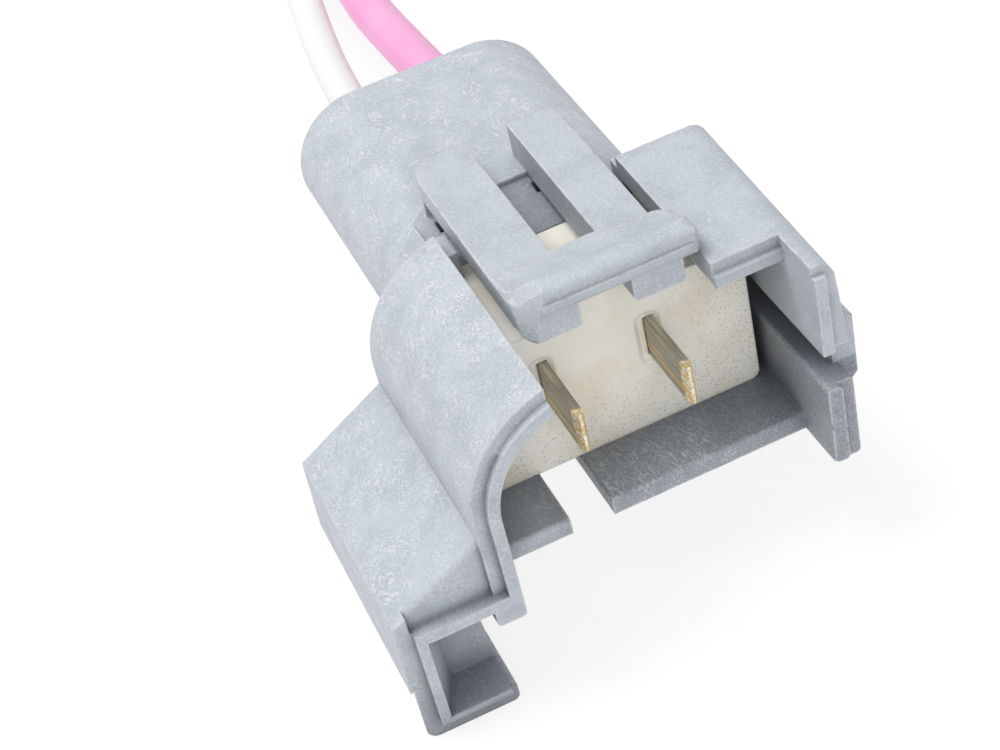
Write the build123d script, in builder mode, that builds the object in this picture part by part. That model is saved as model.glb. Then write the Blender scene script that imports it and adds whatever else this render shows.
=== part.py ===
from build123d import *
import math
import os

# Two-way plug with its lead: a moulded housing whose hood covers a white terminal
# carrier with two blades, and two insulated leads that leave the barrel behind.
# Millimetres. X runs across the plug, +Y runs back along the barrel towards the
# leads and +Z is the side with the latch. The origin is on the carrier's front
# face, on the axis of the barrel.

# Blades and terminals
BLADE_PITCH = 6.9
BLADE_SHIFT = -0.2
BLADE_HEIGHT = 2.8
BLADE_THICK = 0.6
BLADE_REACH = 5.25
BLADE_COIN = 0.35
BLADE_BEVEL = 0.2
SEAM_HEIGHT = -0.5
SEAM_WIDTH = 0.12
SEAM_DEPTH = 0.08
TERMINAL_BODY = (2.6, 3.2)
TERMINAL_BODY_FRONT = 2.0
TERMINAL_BODY_BACK = 9.4
CRIMP_WALL = 0.35
CRIMP_GAP = 0.03
CORE_CRIMP = (10.4, 12.8)
JACKET_CRIMP = (14.0, 16.8)

# Leads
WHITE_OD = 2.6
PINK_OD = 3.2
CORE_OD = 1.5
STRIP_LENGTH = 7.0
JACKET_FRONT = 13.6

# Terminal carrier
CARRIER_SIDE_GAP = 0.45
CARRIER_RIGHT = 9.7
CARRIER_TOP = 3.8
CARRIER_DEPTH = 8.37
CARRIER_CORNER = 0.6
CARRIER_RIDGE = (-4.2, 4.6)
CARRIER_RIDGE_TOP = 4.95
CARRIER_RIDGE_DEPTH = 1.2
CARRIER_FOOT_CUT = (1.9, 0.9)
SLOT_GAP = 0.04
FUNNEL_SIDE = 0.5
FUNNEL_SHIFT = -0.15
FUNNEL_DEPTH = 0.15
FUNNEL_TAPER = 60
FUNNEL_CORNER = 0.6
TONGUE_SIDE = 2.4
TONGUE_HEIGHT = 5.2
TONGUE_BACK = 12.6
CAVITY_GAP = 0.15

# Hood shell around the carrier
HOOD_TOP = 6.9
HOOD_LEFT = -11.8
HOOD_RIGHT = 12.1
HOOD_BACK = 8.4
HOOD_FRONT = -7.8
OUTER_LAYER = 0.8
LIP_LAYER = 0.75
LIP_PROUD = 0.55
ARCH_RADIUS = 7.6
SLOT_EDGE_LEFT = -6.05
PLATE_LEFT = 6.0
PLATE_FRONT = -4.1
PLATE_LIP_PROUD = 0.4
SIDE_WALL = 1.85
SIDE_LEAN = 0.5
SIDE_LIP_PROUD = 0.42
SIDE_LIP_FOOT = 0.3
SIDE_LIP_SPARE = 0.2
SIDE_LIP_DROP = 0.6
FOOT_ROUND = 0.3
CORNER_RADIUS = 1.2
FOOT_BOTTOM = -8.4
FOOT_LEFT = -12.1
KEYWAY_BOTTOM = -2.07
KEYWAY_TOP = 0.63
LOWER_WALL_BOTTOM = -8.1

# Floor under the carrier
FLOOR_TOP = -6.65
FLOOR_THICK = 1.2
FLOOR_FRONT = -4.5
FLOOR_SLOT = (-5.45, -2.7)
FLOOR_SLOT_BACK = 5.5
FLOOR_ROUND = 0.25

# Bridge outside the keyway
BRIDGE_REACH = 1.15
BRIDGE_FRONT = -6.2
BRIDGE_BACK = 6.0
BRIDGE_BOTTOM = -4.2
BRIDGE_TOP = 1.75
BRIDGE_BEVEL = 0.8

# Barrel behind the hood
BARREL_RADIUS = 4.88
BARREL_SPREAD = 8.62
BARREL_BACK = 29.4
RIM_ROUND = 0.6
NECK_LOW = 3.85
NECK_TOP = 4.55
NECK_BACK = 13.15
NECK_RAMP = 0.75
NECK_RIGHT = 5.15
CORE_HOLES = ((-4.85, -2.4), (1.7, 4.4))
CORE_HOLE_FRONT = 11.5
CORE_HOLE_LENGTH = 1.0
CORE_HOLE_FLOOR = 3.4
SLOT_WEB_FRONT = 7.2
SLOT_WEB_TOP = 5.75
SLOT_WEB_GAP = 0.12
FLANGE_BACK = 9.4
LEAD_BORE = 2.45
SEAL_BORE = 3.15
SEAL_SEAT = 18.2

# Latch over the carrier
LATCH_TOP = 7.25
LATCH_THICK = 1.5
LATCH_HALF_WIDTH = 5.04
LATCH_BACK = 15.3
ARM_CORNER_LEFT = 2.2
ARM_CORNER_RIGHT = 0.9
LATCH_WINDOW = (-1.15, 1.8)
LATCH_WINDOW_FRONT = 2.18
LATCH_FRONT = -1.2
RIB_WIDTH = 0.8
RIB_BOTTOM = 4.75
HOOK_FRONT = -3.1
HOOK_BOTTOM = 5.65
HOOK_BACK = -0.9
HOOK_ROUND = 0.3
HOOKS = ((-LATCH_HALF_WIDTH, -1.7), (1.6, 4.85))
NOSE_RIGHT = 6.2
NOSE_BACK = 1.7
NOSE_BACK_STEP = 0.1
NOSE_CREST = 9.05
NOSE_CREST_AT = -2.45
NOSE_FACE_TOP = 8.45
NOSE_LIP_FRONT = -3.35
NOSE_LIP_TOP = 8.1
NOSE_LIP_BOTTOM = 7.65
NOSE_LIP_PROUD = 0.18
NOSE_SLOPE = (-4.3, 8.3)
NOSE_END_ROUND = 1.0
NOSE_PLAN_ROUND = 1.1
FACET_LOW = (5.5, -2.23, -4.33)
FACET_HIGH = (9.1, -0.87, -3.46)

# Wing beside the hood, and the pocket under it
WING_LEFT = -17.9
WING_SLOPE_TOP = -2.15
WING_SLOPE_BOTTOM = -5.65
WING_BOTTOM = -11.05
WING_WALL = 0.85
WING_LOWER_RIGHT = -12.45
WING_SLOPE_WALL = 1.3
WING_EDGE_WALL = 0.65
ARCH_SPARE = 0.4
WING_DRAFT = 0.2
WING_EDGE_ROUND = 0.5
WEB_RECESS = 0.4
WING_WEB_THICK = 1.2
WING_CAVITY_DEPTH = 13.0
RIB_BAND = (-7.85, -6.45)
RIB_NOTCH = (-12.95, -12.1)
POCKET_BOTTOM = -15.45
POCKET_RIGHT = -11.9
POCKET_WALL = 0.95
POCKET_FLOOR = 1.65
POCKET_RIM = 0.4
POCKET_LIP = 0.65
POCKET_TAPER = 0.45
POCKET_INNER_BACK = -15.1
POCKET_BACK_WALL = -5.3
POCKET_BACK = -4.2
POCKET_FLOOR_BACK = -2.9
BACK_WALL_RIGHT = -12.15
POCKET_CORNER = 0.8
POCKET_EDGE_ROUND = 0.45

# Seals
SEAL_BACK = 22.6
SEAL_CORE_RADIUS = 2.75
SEAL_RIB_RADIUS = 3.1
SEAL_RIB = 0.8
SEAL_RIB_COUNT = 3
SEAL_LEAD_GAP = 0.03

# Coil of the put-away lead, on the level that the pocket stands on
BAND_THICK = 0.4
BAND_WIDTH = 4.0
BAND_GAP = 0.15
COIL_CENTRE = (20.5, 105.0)
COIL_WHITE_RADIUS = 18.2
COIL_PINK_RADIUS = 15.0
COIL_LOWER_ARC = 300.0
COIL_RISE_START = 250.0
COIL_WHITE_ARC = 400.0
COIL_PINK_ARC = 486.0
LAYER_GAP = 0.2
COIL_SIDE_GAP = 0.05
COIL_LIFT = 0.05
COIL_ENTRY = 0.2
TURN_SHARE = 0.45
BAND_ANGLE = 30.0
FULL_TURN = 360.0

# How far cutters reach past what they cut, how far two blocks of one moulding run
# into each other, and the reach within which an edge counts as lying at a value
PAST = 1.0
JOIN = 0.4
PICK = 0.01

BLADES_X = (BLADE_SHIFT - BLADE_PITCH / 2, BLADE_SHIFT + BLADE_PITCH / 2)
SURFACE = POCKET_BOTTOM
COIL_BASE = SURFACE + BAND_THICK + COIL_LIFT
LAYER_RISE = PINK_OD + LAYER_GAP

# Both leads run straight out of the barrel, drift together and sink to the
# surface, where the coil starts at its leftmost point.
WHITE_ROUTE = (
    (BLADES_X[0], JACKET_FRONT, 0.0),
    (BLADES_X[0], 26.0, 0.0),
    (-3.35, 38.5, 0.0),
    (-1.5, 51.0, -0.45),
    (1.2, 65.0, -4.5),
    (1.9, 78.0, -10.4),
    (COIL_CENTRE[0] - COIL_WHITE_RADIUS - COIL_ENTRY, 87.5, COIL_BASE + WHITE_OD / 2),
    (COIL_CENTRE[0] - COIL_WHITE_RADIUS, 96.5, COIL_BASE + WHITE_OD / 2),
    (COIL_CENTRE[0] - COIL_WHITE_RADIUS, COIL_CENTRE[1], COIL_BASE + WHITE_OD / 2),
)
PINK_ROUTE = (
    (BLADES_X[1], JACKET_FRONT, 0.0),
    (BLADES_X[1], 25.2, 0.0),
    (2.6, 37.0, 0.0),
    (2.4, 49.5, -1.0),
    (4.7, 63.5, -3.7),
    (5.2, 76.5, -10.0),
    (COIL_CENTRE[0] - COIL_PINK_RADIUS - COIL_ENTRY, 87.0, COIL_BASE + PINK_OD / 2),
    (COIL_CENTRE[0] - COIL_PINK_RADIUS, 96.5, COIL_BASE + PINK_OD / 2),
    (COIL_CENTRE[0] - COIL_PINK_RADIUS, COIL_CENTRE[1], COIL_BASE + PINK_OD / 2),
)

os.makedirs("parts", exist_ok=True)


def across(y):
    """Sketch plane across the barrel at depth y: its axes are world X and Z."""
    return Plane.XZ.offset(-y)


def block(x_range, y_range, z_range, mode=Mode.ADD):
    """Box between two values on each axis."""
    ranges = (x_range, y_range, z_range)
    with Locations(tuple((low + high) / 2 for low, high in ranges)):
        Box(*(high - low for low, high in ranges), mode=mode)


def arch_outline(inset, foot):
    """Left half of the hood in section, inset from its outside, down to foot."""
    centre_x = HOOD_LEFT + ARCH_RADIUS
    centre_z = HOOD_TOP - ARCH_RADIUS
    radius = ARCH_RADIUS - inset
    half = SLOT_EDGE_LEFT - centre_x
    start = (SLOT_EDGE_LEFT, centre_z + math.sqrt(radius**2 - half**2))
    turn = math.radians(135)
    middle = (centre_x + radius * math.cos(turn), centre_z + radius * math.sin(turn))
    side = (centre_x - radius, centre_z)
    return start, middle, side, (side[0], foot)


def arch_layer(outer_inset, inner_inset):
    """Closed wire of one layer of the arch between two insets."""
    outer = arch_outline(outer_inset, FOOT_BOTTOM)
    inner = arch_outline(inner_inset, FOOT_BOTTOM)
    ThreePointArc(*outer[:3])
    Line(outer[2], outer[3])
    Line(outer[3], inner[3])
    Line(inner[3], inner[2])
    ThreePointArc(inner[2], inner[1], inner[0])
    Line(inner[0], outer[0])


# Housing: hood, wing, pocket, barrel and latch are one moulding
WALL_FULL = OUTER_LAYER + LIP_LAYER
RIGHT_INNER = HOOD_RIGHT - SIDE_WALL
LIP_OUTER_RIGHT = RIGHT_INNER + LIP_LAYER
PLATE_UNDER = HOOD_TOP - WALL_FULL
SIDE_LIP_TOP = HOOD_TOP - SIDE_LIP_DROP
FLOOR_BOTTOM = FLOOR_TOP - FLOOR_THICK

# Arms and crossbar of the latch in one outline, thick only where they root
with BuildPart() as latch:
    with BuildSketch(Plane.XY.offset(LATCH_TOP)) as outline:
        with Locations((0, (LATCH_FRONT + LATCH_BACK) / 2)):
            Rectangle(2 * LATCH_HALF_WIDTH, LATCH_BACK - LATCH_FRONT)
        fillet(outline.vertices().sort_by(Axis.Y)[-2:].sort_by(Axis.X)[0], ARM_CORNER_LEFT)
        fillet(outline.vertices().sort_by(Axis.Y)[-2:].sort_by(Axis.X)[-1], ARM_CORNER_RIGHT)
    extrude(amount=BARREL_RADIUS - JOIN - LATCH_TOP)
    block(
        (-LATCH_HALF_WIDTH - PAST, LATCH_HALF_WIDTH + PAST),
        (LATCH_FRONT - PAST, NECK_BACK),
        (BARREL_RADIUS - JOIN - PAST, LATCH_TOP - LATCH_THICK),
        mode=Mode.SUBTRACT,
    )

# Nose bar across the latch: one long section, trimmed to its front outline and
# to its outline from above, with the hooks under it and a facet at its left end
with BuildPart() as nose:
    with BuildSketch(Plane.YZ.offset(-LATCH_HALF_WIDTH)):
        with BuildLine():
            Polyline(
                (NOSE_BACK, LATCH_TOP + NOSE_BACK_STEP),
                (NOSE_BACK, LATCH_TOP),
                (HOOK_FRONT, LATCH_TOP),
                (NOSE_LIP_FRONT, NOSE_LIP_BOTTOM),
                (NOSE_LIP_FRONT, NOSE_LIP_TOP),
                (NOSE_LIP_FRONT + NOSE_LIP_PROUD, NOSE_LIP_TOP),
                (NOSE_LIP_FRONT + NOSE_LIP_PROUD, NOSE_FACE_TOP),
            )
            Spline(
                (NOSE_LIP_FRONT + NOSE_LIP_PROUD, NOSE_FACE_TOP),
                (NOSE_CREST_AT, NOSE_CREST),
                (NOSE_BACK, LATCH_TOP + NOSE_BACK_STEP),
                tangents=((0, 1), (1, 0)),
            )
        make_face()
    extrude(amount=LATCH_HALF_WIDTH + NOSE_RIGHT)
    with BuildSketch(across(NOSE_BACK + PAST)) as front_outline:
        with BuildLine():
            Polyline(
                (-LATCH_HALF_WIDTH, LATCH_TOP),
                NOSE_SLOPE,
                (NOSE_SLOPE[0] + NOSE_CREST - NOSE_SLOPE[1], NOSE_CREST),
                (NOSE_RIGHT, NOSE_CREST),
                (NOSE_RIGHT, LATCH_TOP),
                close=True,
            )
        make_face()
        fillet(front_outline.vertices().group_by(Axis.Y)[-1], NOSE_END_ROUND)
    extrude(amount=NOSE_BACK - HOOD_FRONT, mode=Mode.INTERSECT)
    with BuildSketch(Plane.XY.offset(LATCH_TOP)) as top_outline:
        with BuildLine():
            Polyline(
                (-LATCH_HALF_WIDTH, NOSE_BACK),
                (-LATCH_HALF_WIDTH, NOSE_LIP_FRONT),
                (NOSE_RIGHT, NOSE_LIP_FRONT),
                (NOSE_RIGHT, NOSE_BACK),
                close=True,
            )
        make_face()
        fillet(top_outline.vertices().sort_by(Axis.X)[-2:], NOSE_PLAN_ROUND)
    extrude(amount=NOSE_CREST - LATCH_TOP, mode=Mode.INTERSECT)
    with BuildSketch(across(HOOK_BACK)) as hook_outline:
        for left_end, right_end in HOOKS:
            with Locations(((left_end + right_end) / 2, (HOOK_BOTTOM + NOSE_LIP_BOTTOM) / 2)):
                Rectangle(right_end - left_end, NOSE_LIP_BOTTOM - HOOK_BOTTOM)
        fillet(hook_outline.vertices().group_by(Axis.Y)[0], HOOK_ROUND)
    extrude(amount=HOOK_BACK - HOOK_FRONT)
    for level, side_end, front_end in (FACET_LOW, FACET_HIGH):
        with BuildSketch(Plane.XY.offset(level)):
            with BuildLine():
                Polyline(
                    (-LATCH_HALF_WIDTH, side_end),
                    (front_end, NOSE_LIP_FRONT),
                    (front_end, NOSE_LIP_FRONT - PAST),
                    (-LATCH_HALF_WIDTH - PAST, NOSE_LIP_FRONT - PAST),
                    (-LATCH_HALF_WIDTH - PAST, side_end),
                    close=True,
                )
            make_face()
    loft(ruled=True, mode=Mode.SUBTRACT)

# Solid of the wing, with a sloping top and a rounded front edge
with BuildPart() as wing:
    with BuildSketch(across(HOOD_BACK)):
        with BuildLine():
            Polyline(
                (HOOD_LEFT + OUTER_LAYER, WING_SLOPE_TOP),
                (HOOD_LEFT, WING_SLOPE_TOP),
                (WING_LEFT, WING_SLOPE_BOTTOM),
                (WING_LEFT, RIB_BAND[0]),
                (HOOD_LEFT + OUTER_LAYER, RIB_BAND[0]),
                close=True,
            )
        make_face()
    extrude(amount=HOOD_BACK - (HOOD_FRONT + WEB_RECESS))
    front_edges = wing.faces().sort_by(Axis.Y)[0].edges()
    fillet(
        front_edges.filter_by(
            lambda edge: abs((edge @ 0).Z - (edge @ 1).Z) > WING_EDGE_ROUND
            and abs((edge @ 0).X - (edge @ 1).X) > WING_EDGE_ROUND
        ),
        WING_EDGE_ROUND,
    )

# Right top plate and upper side wall in one bent section; towards the front the
# outer side leans inwards at its top
with BuildPart() as right_hood:
    for y, lean in ((HOOD_BACK, 0), (HOOD_FRONT, SIDE_LEAN)):
        with BuildSketch(across(y)):
            with BuildLine():
                Polyline(
                    (PLATE_LEFT, PLATE_UNDER),
                    (PLATE_LEFT, HOOD_TOP),
                    (HOOD_RIGHT - lean, HOOD_TOP),
                    (HOOD_RIGHT, KEYWAY_TOP),
                    (RIGHT_INNER, KEYWAY_TOP),
                    (RIGHT_INNER, PLATE_UNDER),
                    close=True,
                )
            make_face()
    loft(ruled=True)
    fillet(
        right_hood.edges()
        .filter_by(lambda edge: edge.length > HOOD_BACK - HOOD_FRONT - PICK)
        .sort_by(lambda edge: edge.center().X + edge.center().Z)[-1],
        CORNER_RADIUS,
    )

# Outer wall and floor of the pocket, the wall thicker towards its back
with BuildPart() as pocket:
    for inner_edge, height in (
        (
            (
                (WING_LEFT + POCKET_WALL + POCKET_LIP, HOOD_FRONT),
                (POCKET_INNER_BACK, POCKET_BACK_WALL),
                (POCKET_INNER_BACK, POCKET_BACK),
            ),
            RIB_BAND[0] - POCKET_BOTTOM,
        ),
        (
            (
                (POCKET_RIGHT, HOOD_FRONT),
                (POCKET_RIGHT, POCKET_FLOOR_BACK),
                (POCKET_INNER_BACK, POCKET_FLOOR_BACK),
                (POCKET_INNER_BACK, POCKET_BACK),
            ),
            POCKET_FLOOR,
        ),
    ):
        with BuildSketch(Plane.XY.offset(POCKET_BOTTOM)):
            with BuildLine():
                Polyline(
                    (WING_LEFT, HOOD_FRONT),
                    *inner_edge,
                    (WING_LEFT + POCKET_TAPER, POCKET_BACK),
                    close=True,
                )
            make_face()
        extrude(amount=height)
    bottom_edges = pocket.faces().sort_by(Axis.Z)[0].edges()
    fillet(
        bottom_edges.filter_by(lambda edge: abs((edge @ 0).Y - (edge @ 1).Y) > PAST).sort_by(
            Axis.X
        )[0],
        POCKET_CORNER,
    )
    fillet(
        pocket.edges()
        .filter_by(Axis.Y)
        .filter_by_position(Axis.X, POCKET_RIGHT - PICK, POCKET_RIGHT + PICK),
        POCKET_EDGE_ROUND,
    )

with BuildPart() as housing:
    # Left arch, and its proud inner lip
    with BuildSketch(across(HOOD_BACK)):
        with BuildLine():
            arch_layer(0, WALL_FULL)
        make_face()
    extrude(amount=HOOD_BACK - HOOD_FRONT)
    with BuildSketch(across(HOOD_FRONT)) as lip:
        with BuildLine():
            arch_layer(OUTER_LAYER, WALL_FULL)
        make_face()
        fillet(lip.vertices().group_by(Axis.Y)[0], FOOT_ROUND)
    extrude(amount=LIP_PROUD)

    # Right top plate, set back from the side wall, with a lip under its front edge
    add(right_hood.part)
    block(
        (PLATE_LEFT - PAST, RIGHT_INNER),
        (HOOD_FRONT - PAST, PLATE_FRONT),
        (PLATE_UNDER - PAST, HOOD_TOP + PAST),
        mode=Mode.SUBTRACT,
    )
    block(
        (PLATE_LEFT, RIGHT_INNER),
        (PLATE_FRONT - PLATE_LIP_PROUD, PLATE_FRONT),
        (PLATE_UNDER, PLATE_UNDER + LIP_LAYER),
    )
    block(
        (RIGHT_INNER, LIP_OUTER_RIGHT),
        (HOOD_FRONT - SIDE_LIP_PROUD, HOOD_FRONT),
        (KEYWAY_TOP, SIDE_LIP_TOP),
    )

    # Right lower side wall under the keyway
    for y_back, y_front, x_right, z_low in (
        (HOOD_BACK, HOOD_FRONT, HOOD_RIGHT, LOWER_WALL_BOTTOM),
        (
            HOOD_FRONT,
            HOOD_FRONT - SIDE_LIP_PROUD,
            LIP_OUTER_RIGHT + SIDE_LIP_SPARE,
            LOWER_WALL_BOTTOM + SIDE_LIP_FOOT,
        ),
    ):
        with BuildSketch(across(y_back)):
            with Locations(((RIGHT_INNER + x_right) / 2, (z_low + KEYWAY_BOTTOM) / 2)):
                RectangleRounded(x_right - RIGHT_INNER, KEYWAY_BOTTOM - z_low, FOOT_ROUND)
        extrude(amount=y_back - y_front)

    # Floor under the carrier, open through a slot left of the middle
    block(
        (HOOD_LEFT + WALL_FULL - JOIN, RIGHT_INNER + JOIN),
        (FLOOR_FRONT, HOOD_BACK),
        (FLOOR_BOTTOM, FLOOR_TOP),
    )
    block(
        FLOOR_SLOT,
        (FLOOR_FRONT - PAST, FLOOR_SLOT_BACK),
        (FLOOR_BOTTOM - PAST, FLOOR_TOP + PAST),
        mode=Mode.SUBTRACT,
    )
    floor_top = housing.edges().filter_by_position(Axis.Z, FLOOR_TOP - PICK, FLOOR_TOP + PICK)
    fillet(
        floor_top.filter_by_position(Axis.X, FLOOR_SLOT[1] - PICK, FLOOR_SLOT[1] + PICK)
        + floor_top.filter_by_position(Axis.Y, FLOOR_FRONT - PICK, FLOOR_FRONT + PICK),
        FLOOR_ROUND,
    )

    # Flange that closes the hood behind the carrier
    with BuildSketch(across(FLANGE_BACK)):
        with BuildLine():
            outline = arch_outline(OUTER_LAYER, FLOOR_BOTTOM)
            ThreePointArc(*outline[:3])
            Line(outline[2], outline[3])
            Polyline(
                outline[3],
                (HOOD_RIGHT - OUTER_LAYER, FLOOR_BOTTOM),
                (HOOD_RIGHT - OUTER_LAYER, HOOD_TOP - OUTER_LAYER),
                (PLATE_LEFT, HOOD_TOP - OUTER_LAYER),
                (PLATE_LEFT, NECK_LOW),
                (SLOT_EDGE_LEFT, NECK_LOW),
                outline[0],
            )
        make_face()
    extrude(amount=FLANGE_BACK - HOOD_BACK)

    # Barrel with its rounded rear rim
    with BuildSketch(across(BARREL_BACK)):
        SlotCenterToCenter(BARREL_SPREAD, 2 * BARREL_RADIUS)
    extrude(amount=BARREL_BACK - HOOD_BACK)
    fillet(
        housing.edges().filter_by_position(Axis.Y, BARREL_BACK - PICK, BARREL_BACK + PICK),
        RIM_ROUND,
    )
    with BuildSketch(Plane.YZ.offset(SLOT_EDGE_LEFT)):
        with BuildLine():
            Polyline(
                (HOOD_BACK, NECK_LOW),
                (NECK_BACK, NECK_TOP),
                (NECK_BACK + NECK_RAMP, BARREL_RADIUS),
                (NECK_BACK + NECK_RAMP, LATCH_TOP + PAST),
                (HOOD_BACK, LATCH_TOP + PAST),
                close=True,
            )
        make_face()
    extrude(amount=NECK_RIGHT - SLOT_EDGE_LEFT, mode=Mode.SUBTRACT)
    for core_hole in CORE_HOLES:
        block(
            core_hole,
            (CORE_HOLE_FRONT, CORE_HOLE_FRONT + CORE_HOLE_LENGTH),
            (CORE_HOLE_FLOOR, NECK_TOP + PAST),
            mode=Mode.SUBTRACT,
        )
    block(
        (SLOT_EDGE_LEFT - JOIN, -LATCH_HALF_WIDTH - SLOT_WEB_GAP),
        (SLOT_WEB_FRONT, FLANGE_BACK),
        (CARRIER_TOP + SLOT_WEB_GAP, SLOT_WEB_TOP),
    )

    # Bores for the leads, and the deeper ones for their seals
    for blade_x in BLADES_X:
        with BuildSketch(across(BARREL_BACK)):
            with Locations((blade_x, 0)):
                Circle(LEAD_BORE)
        extrude(amount=BARREL_BACK - HOOD_BACK, mode=Mode.SUBTRACT)
        with BuildSketch(across(BARREL_BACK)):
            with Locations((blade_x, 0)):
                Circle(SEAL_BORE)
        extrude(amount=BARREL_BACK - SEAL_SEAT, mode=Mode.SUBTRACT)
    block(
        (BLADES_X[0] - TONGUE_SIDE - CAVITY_GAP, BLADES_X[1] + TONGUE_SIDE + CAVITY_GAP),
        (HOOD_BACK - JOIN, TONGUE_BACK + CAVITY_GAP),
        (-TONGUE_HEIGHT / 2 - CAVITY_GAP, TONGUE_HEIGHT / 2 + CAVITY_GAP),
        mode=Mode.SUBTRACT,
    )

    # Latch: two arms rooted on the barrel, a crossbar, their ribs and the nose
    add(latch.part)
    for rib in (
        (LATCH_WINDOW[0] - RIB_WIDTH, LATCH_WINDOW[0]),
        (LATCH_WINDOW[1], LATCH_WINDOW[1] + RIB_WIDTH),
    ):
        block(rib, (LATCH_WINDOW_FRONT, NECK_BACK), (RIB_BOTTOM, LATCH_TOP))
    block(
        LATCH_WINDOW,
        (LATCH_WINDOW_FRONT, LATCH_BACK + PAST),
        (BARREL_RADIUS, LATCH_TOP + PAST),
        mode=Mode.SUBTRACT,
    )
    add(nose.part)

    # Bridge that closes the keyway on the outside
    with BuildSketch(across(BRIDGE_BACK)):
        with BuildLine():
            Polyline(
                (HOOD_RIGHT - JOIN, BRIDGE_BOTTOM),
                (HOOD_RIGHT + BRIDGE_REACH - BRIDGE_BEVEL, BRIDGE_BOTTOM),
                (HOOD_RIGHT + BRIDGE_REACH, BRIDGE_BOTTOM + BRIDGE_BEVEL),
                (HOOD_RIGHT + BRIDGE_REACH, BRIDGE_TOP - BRIDGE_BEVEL),
                (HOOD_RIGHT + BRIDGE_REACH - BRIDGE_BEVEL, BRIDGE_TOP),
                (HOOD_RIGHT - JOIN, BRIDGE_TOP),
                close=True,
            )
        make_face()
    extrude(amount=BRIDGE_BACK - BRIDGE_FRONT)

    # Wing over a hollow that is open at the back, its outer side drawn outwards
    add(wing.part)
    side_rise = WING_WALL * (WING_SLOPE_TOP - WING_SLOPE_BOTTOM) / (HOOD_LEFT - WING_LEFT)
    with BuildSketch(across(HOOD_BACK)):
        with BuildLine():
            Polyline(
                (WING_LEFT, WING_SLOPE_BOTTOM),
                (WING_LEFT - WING_DRAFT, WING_BOTTOM),
                (WING_LEFT + WING_WALL, WING_BOTTOM),
                (WING_LEFT + WING_WALL, WING_SLOPE_BOTTOM + side_rise),
                close=True,
            )
        make_face()
    extrude(amount=HOOD_BACK - HOOD_FRONT)
    block(
        (WING_LEFT, WING_LOWER_RIGHT),
        (POCKET_BACK_WALL, HOOD_BACK),
        (WING_BOTTOM, RIB_BAND[0]),
    )
    with BuildSketch(across(HOOD_BACK)):
        with BuildLine():
            Polyline(
                (WING_LEFT + WING_WALL, WING_BOTTOM + WING_WEB_THICK),
                (WING_LOWER_RIGHT - WING_WALL, WING_BOTTOM + WING_WEB_THICK),
                (WING_LOWER_RIGHT - WING_WALL, RIB_BAND[0] + WING_WALL),
                (HOOD_LEFT - ARCH_SPARE, RIB_BAND[0] + WING_WALL),
                (HOOD_LEFT - ARCH_SPARE, WING_SLOPE_TOP - WING_SLOPE_WALL),
                (WING_LEFT + WING_WALL, WING_SLOPE_BOTTOM - WING_EDGE_WALL),
                close=True,
            )
        make_face()
    extrude(amount=WING_CAVITY_DEPTH, mode=Mode.SUBTRACT)

    # Rib across the wing's front, proud of the web, with its lip and a notch
    block(
        (WING_LEFT + WING_WALL, HOOD_LEFT + WALL_FULL),
        (HOOD_FRONT, HOOD_FRONT + WEB_RECESS),
        RIB_BAND,
    )
    block(
        (WING_LEFT + POCKET_WALL, HOOD_LEFT + OUTER_LAYER),
        (HOOD_FRONT - LIP_PROUD, HOOD_FRONT),
        (RIB_BAND[1] - LIP_LAYER, RIB_BAND[1]),
    )
    with BuildSketch(across(HOOD_FRONT + WEB_RECESS)) as foot:
        with Locations(
            ((FOOT_LEFT + HOOD_LEFT + WALL_FULL) / 2, (FOOT_BOTTOM + RIB_BAND[1]) / 2)
        ):
            Rectangle(HOOD_LEFT + WALL_FULL - FOOT_LEFT, RIB_BAND[1] - FOOT_BOTTOM)
        fillet(foot.vertices().group_by(Axis.Y)[0], FOOT_ROUND)
    extrude(amount=WEB_RECESS + LIP_PROUD)
    block(
        RIB_NOTCH,
        (HOOD_FRONT - LIP_PROUD - PAST, POCKET_BACK_WALL),
        (RIB_BAND[0] - PAST, RIB_BAND[1] - LIP_LAYER),
        mode=Mode.SUBTRACT,
    )

    # Pocket under the rib: outer wall and floor rounded below, and a back wall
    add(pocket.part)
    with BuildSketch(across(POCKET_BACK)):
        with BuildLine():
            Polyline(
                (POCKET_INNER_BACK - JOIN, POCKET_BOTTOM + POCKET_FLOOR - JOIN),
                (BACK_WALL_RIGHT, POCKET_BOTTOM + POCKET_FLOOR - JOIN),
                (BACK_WALL_RIGHT, POCKET_BOTTOM + POCKET_FLOOR),
                (WING_LOWER_RIGHT, WING_BOTTOM + JOIN),
                (POCKET_INNER_BACK - JOIN, WING_BOTTOM + JOIN),
                close=True,
            )
        make_face()
    extrude(amount=POCKET_BACK - POCKET_BACK_WALL)
    block(
        (WING_LEFT + POCKET_WALL, WING_LEFT + POCKET_WALL + POCKET_LIP),
        (HOOD_FRONT - LIP_PROUD, HOOD_FRONT),
        (POCKET_BOTTOM + POCKET_FLOOR - POCKET_RIM, RIB_BAND[1]),
    )
    block(
        (WING_LEFT + POCKET_WALL + POCKET_LIP, POCKET_RIGHT - POCKET_EDGE_ROUND),
        (HOOD_FRONT - LIP_PROUD, HOOD_FRONT),
        (POCKET_BOTTOM + POCKET_FLOOR - POCKET_RIM, POCKET_BOTTOM + POCKET_FLOOR),
    )

housing.part.label = "housing"

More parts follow.
